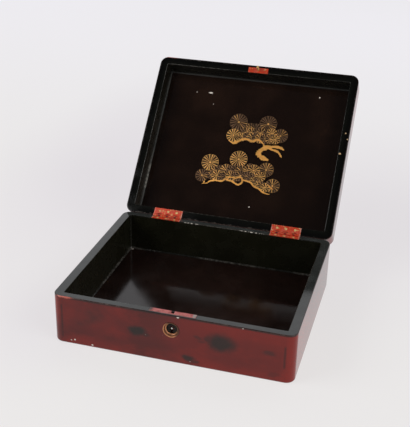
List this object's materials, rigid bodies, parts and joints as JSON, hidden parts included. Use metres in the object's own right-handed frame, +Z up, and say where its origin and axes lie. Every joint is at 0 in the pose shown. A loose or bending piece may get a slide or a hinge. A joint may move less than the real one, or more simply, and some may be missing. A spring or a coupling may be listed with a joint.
{
  "type": "lacquer box",
  "caption": "Rectangular red and black lacquered box with rounded corners, a hinged recessed lid shown open, butt hinges, a cut box lock with a keyhole ring, and a hooked catch in the lid.",
  "frame": {"origin": "middle of the underside of the base", "axes": "+Z up, the front with the keyhole faces -Y, X along the width; the lid is stored open, tilted back over +Y"},
  "size_m": [0.262, 0.3846, 0.2222],
  "materials": {
    "red_lacquer": "polished red lacquer with dark clouds outside and black lacquer inside, over wood",
    "black_lacquer": "polished black lacquer over wood",
    "reddened_brass": "brass under worn translucent red lacquer",
    "brass": "aged brass",
    "steel": "filed and darkened steel"
  },
  "bodies": {
    "base": {"base_front_wall": "red_lacquer", "base_back_wall": "red_lacquer", "base_left_wall": "red_lacquer", "base_right_wall": "red_lacquer", "base_bottom": "black_lacquer", "left_hinge_base_leaf": "reddened_brass", "right_hinge_base_leaf": "reddened_brass", "left_hinge_pin": "brass", "right_hinge_pin": "brass", "left_hinge_base_screw_1": "brass", "left_hinge_base_screw_2": "brass", "left_hinge_base_screw_3": "brass", "right_hinge_base_screw_1": "brass", "right_hinge_base_screw_2": "brass", "right_hinge_base_screw_3": "brass", "lock_plate": "reddened_brass", "lock_case": "steel", "lock_bolt_spring": "steel", "lock_drill_pin": "steel", "keyhole_ring": "brass", "lock_rim_screw_left": "brass", "lock_rim_screw_right": "brass", "lock_back_screw_left": "brass", "lock_back_screw_right": "brass"},
    "lid": {"lid_top": "red_lacquer", "lid_front_rail": "red_lacquer", "lid_back_rail": "red_lacquer", "lid_left_rail": "red_lacquer", "lid_right_rail": "red_lacquer", "left_hinge_lid_leaf": "reddened_brass", "right_hinge_lid_leaf": "reddened_brass", "left_hinge_lid_screw_1": "brass", "left_hinge_lid_screw_2": "brass", "left_hinge_lid_screw_3": "brass", "right_hinge_lid_screw_1": "brass", "right_hinge_lid_screw_2": "brass", "right_hinge_lid_screw_3": "brass", "catch_plate": "reddened_brass", "catch_hook": "brass", "catch_screw_1": "brass", "catch_screw_2": "brass"},
    "bolt": {"lock_bolt": "steel"}
  },
  "joints": [
    {"name": "lid_hinge", "type": "hinge", "parent": "base", "child": "lid", "pos_m": [0, 0.1088, 0.0577], "axis": [1, 0, 0], "range_deg": [0, 132]},
    {"name": "bolt_slide", "type": "slide", "parent": "base", "child": "bolt", "axis": [1, 0, 0], "range_m": [0, 0.006]}
  ]
}
